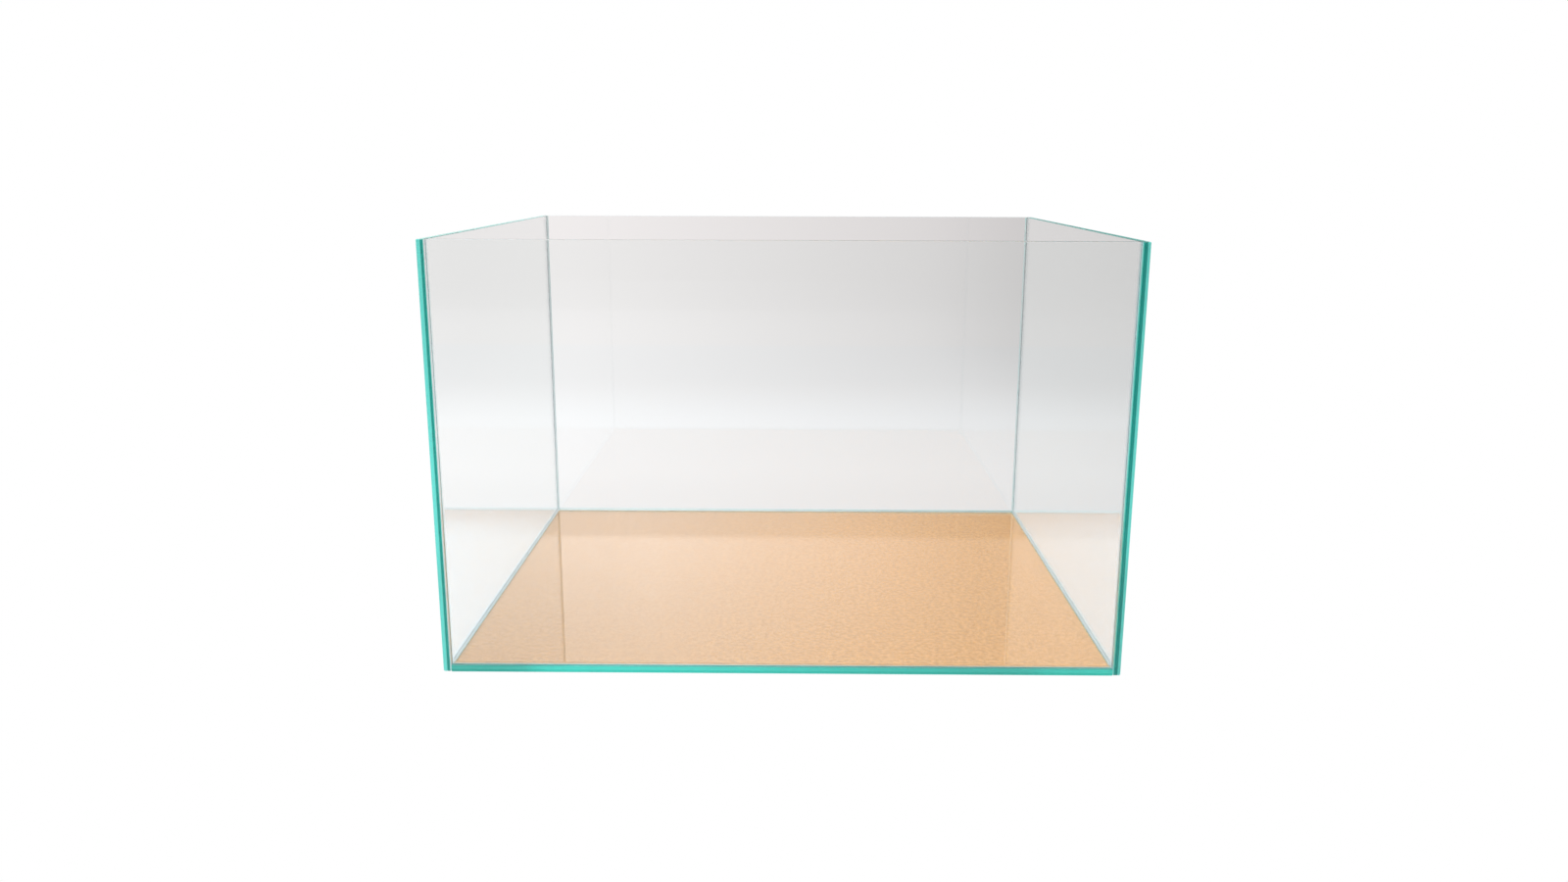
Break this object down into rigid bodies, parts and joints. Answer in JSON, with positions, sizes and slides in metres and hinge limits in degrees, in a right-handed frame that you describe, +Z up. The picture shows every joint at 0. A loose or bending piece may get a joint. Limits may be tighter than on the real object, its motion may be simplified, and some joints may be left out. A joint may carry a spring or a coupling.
{
  "type": "glass aquarium tank",
  "caption": "Rimless open-top rectangular glass tank, panes bonded with clear silicone, with a kraft sheet under the base glass.",
  "frame": {"origin": "on the ground, under the centre of the tank's footprint", "axes": "+X to the right along the tank's length, +Y from the front glass to the back glass, +Z up"},
  "size_m": [0.6, 0.5, 0.38],
  "materials": {
    "glass": "clear float glass with polished edges that read turquoise",
    "silicone": "clear glossy silicone",
    "kraft": "matte brown kraft board"
  },
  "bodies": {
    "root": {"base_glass": "glass", "left_glass": "glass", "right_glass": "glass", "front_glass": "glass", "back_glass": "glass", "bond_front_left": "silicone", "bond_front_right": "silicone", "bond_back_left": "silicone", "bond_back_right": "silicone", "bond_base_left": "silicone", "bond_base_right": "silicone", "bond_front_foot": "silicone", "bond_back_foot": "silicone", "bead_front_left": "silicone", "bead_front_right": "silicone", "bead_back_right": "silicone", "bead_back_left": "silicone", "bead_floor_left": "silicone", "bead_floor_front": "silicone", "bead_floor_right": "silicone", "bead_floor_back": "silicone", "kraft_sheet": "kraft"}
  },
  "joints": []
}
